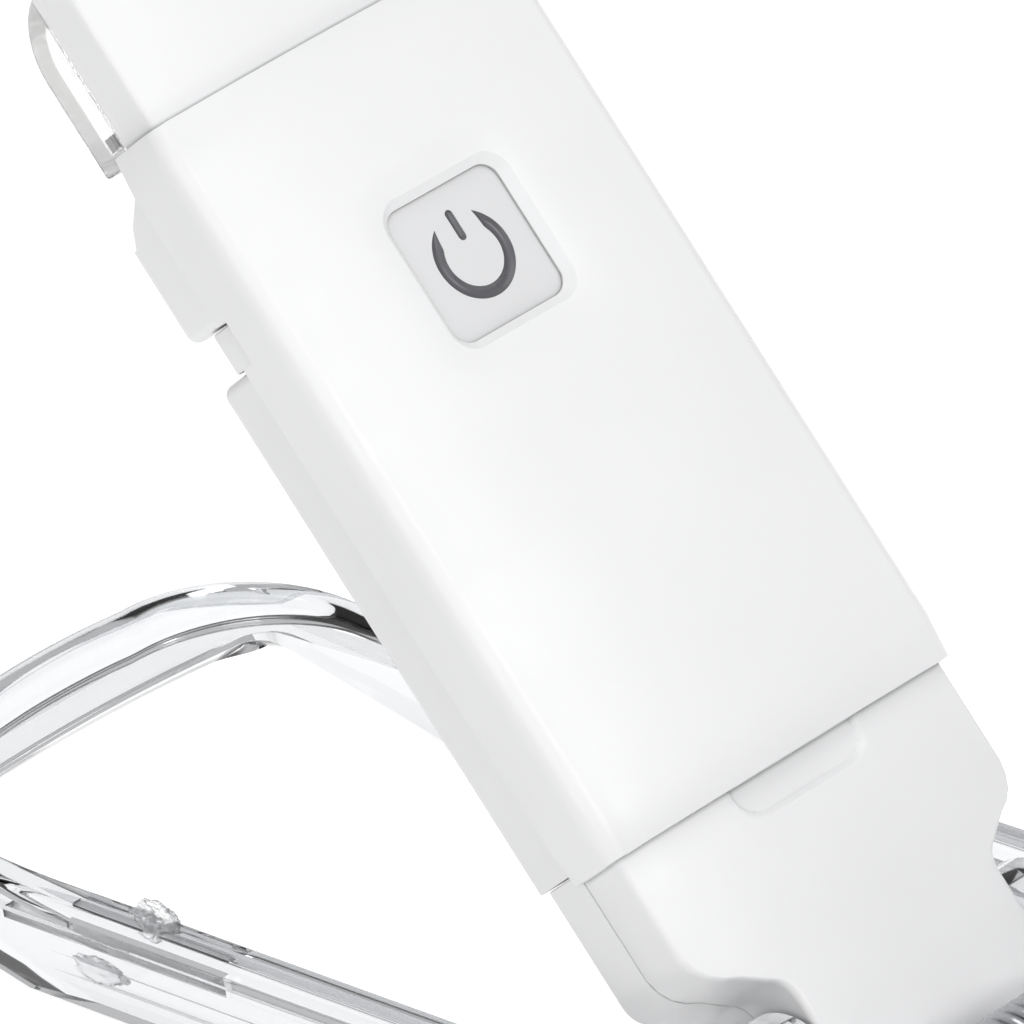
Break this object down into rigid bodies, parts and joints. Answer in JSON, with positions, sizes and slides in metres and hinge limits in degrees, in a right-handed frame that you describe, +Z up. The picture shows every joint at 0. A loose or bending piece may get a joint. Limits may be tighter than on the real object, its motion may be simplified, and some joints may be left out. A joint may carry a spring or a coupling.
{
  "type": "clip-on reading lamp",
  "caption": "Slim rechargeable reading lamp: white body with a push button and tilting LED head, plug under a pull-off cap, tilting on a clear sprung two-jaw clip.",
  "frame": {"origin": "on the underside of the lower jaw's root plate, on the centreline, straight below the clip's pivot pin", "axes": "+X across the clip, +Y out of the clip's mouth, +Z up from the face that the clip lies on"},
  "size_m": [0.0366, 0.1098, 0.0703],
  "materials": {
    "white_shell": "satin moulded white",
    "white_button": "satin moulded white",
    "symbol_grey": "dark grey inlay, semi-gloss",
    "clear_plastic": "polished clear polycarbonate",
    "lens_clear": "polished clear acrylic, faintly frosted inside",
    "silicone": "translucent silicone, matt",
    "steel": "bright drawn steel",
    "spring_steel": "nickel-plated spring wire",
    "plug_steel": "nickel-plated pressed steel",
    "nylon": "natural nylon",
    "circuit_board": "green solder mask",
    "led_board_white": "white solder mask",
    "black_plastic": "matt black",
    "battery_foil": "laminated foil pouch",
    "foam": "closed-cell foam",
    "tongue_white": "moulded white",
    "gold": "gold plate",
    "led_white": "white ceramic package with pale phosphor"
  },
  "bodies": {
    "clip_base": {"lower_jaw": "clear_plastic", "lower_grip_pads": "silicone", "tilt_pin": "steel", "tilt_washers": "nylon", "pivot_pin": "steel", "clip_spring": "spring_steel"},
    "clip_upper": {"upper_jaw": "clear_plastic", "upper_grip_pads": "silicone"},
    "cap": {"cap_front_shell": "white_shell", "cap_rear_shell": "white_shell", "plug_sleeve": "nylon", "tilt_bushes": "nylon"},
    "lamp_body": {"front_shell": "white_shell", "upper_rear_cover": "white_shell", "lower_rear_cover": "white_shell", "circuit_board": "circuit_board", "board_components": "black_plastic", "tact_switch": "steel", "battery_cell": "battery_foil", "battery_pad": "foam", "usb_plug_shell": "plug_steel", "usb_plug_tongue": "tongue_white", "usb_contacts": "gold", "board_screws": "steel", "head_hinge_pins": "steel"},
    "button": {"button_cap": "white_button", "button_symbol": "symbol_grey"},
    "head": {"head_shell": "white_shell", "head_lens": "lens_clear", "led_board": "led_board_white", "leds": "led_white", "light_block_strip": "black_plastic"}
  },
  "joints": [
    {"name": "clip_open", "type": "hinge", "parent": "clip_base", "child": "clip_upper", "pos_m": [0, 0, 0.0066], "axis": [1, 0, 0], "range_deg": [0, 16], "stiffness_Nm_per_rad": 0.12, "springref_deg": -22.92, "deforming": ["clip_spring"]},
    {"name": "lamp_tilt", "type": "hinge", "parent": "clip_base", "child": "cap", "pos_m": [0, 0.01, 0.0055], "axis": [1, 0, 0], "range_deg": [-20, 60]},
    {"name": "plug_pull", "type": "slide", "parent": "cap", "child": "lamp_body", "axis": [0, 0.592, 0.8059], "range_m": [0, 0.0145]},
    {"name": "head_tilt", "type": "hinge", "parent": "lamp_body", "child": "head", "pos_m": [0, 0.0488, 0.0579], "axis": [-1, 0, 0], "range_deg": [0, 30]},
    {"name": "button_press", "type": "slide", "parent": "lamp_body", "child": "button", "axis": [0, 0.8059, -0.592], "range_m": [0, 0.0004], "stiffness_N_per_m": 500, "springref_m": -0.0006}
  ]
}
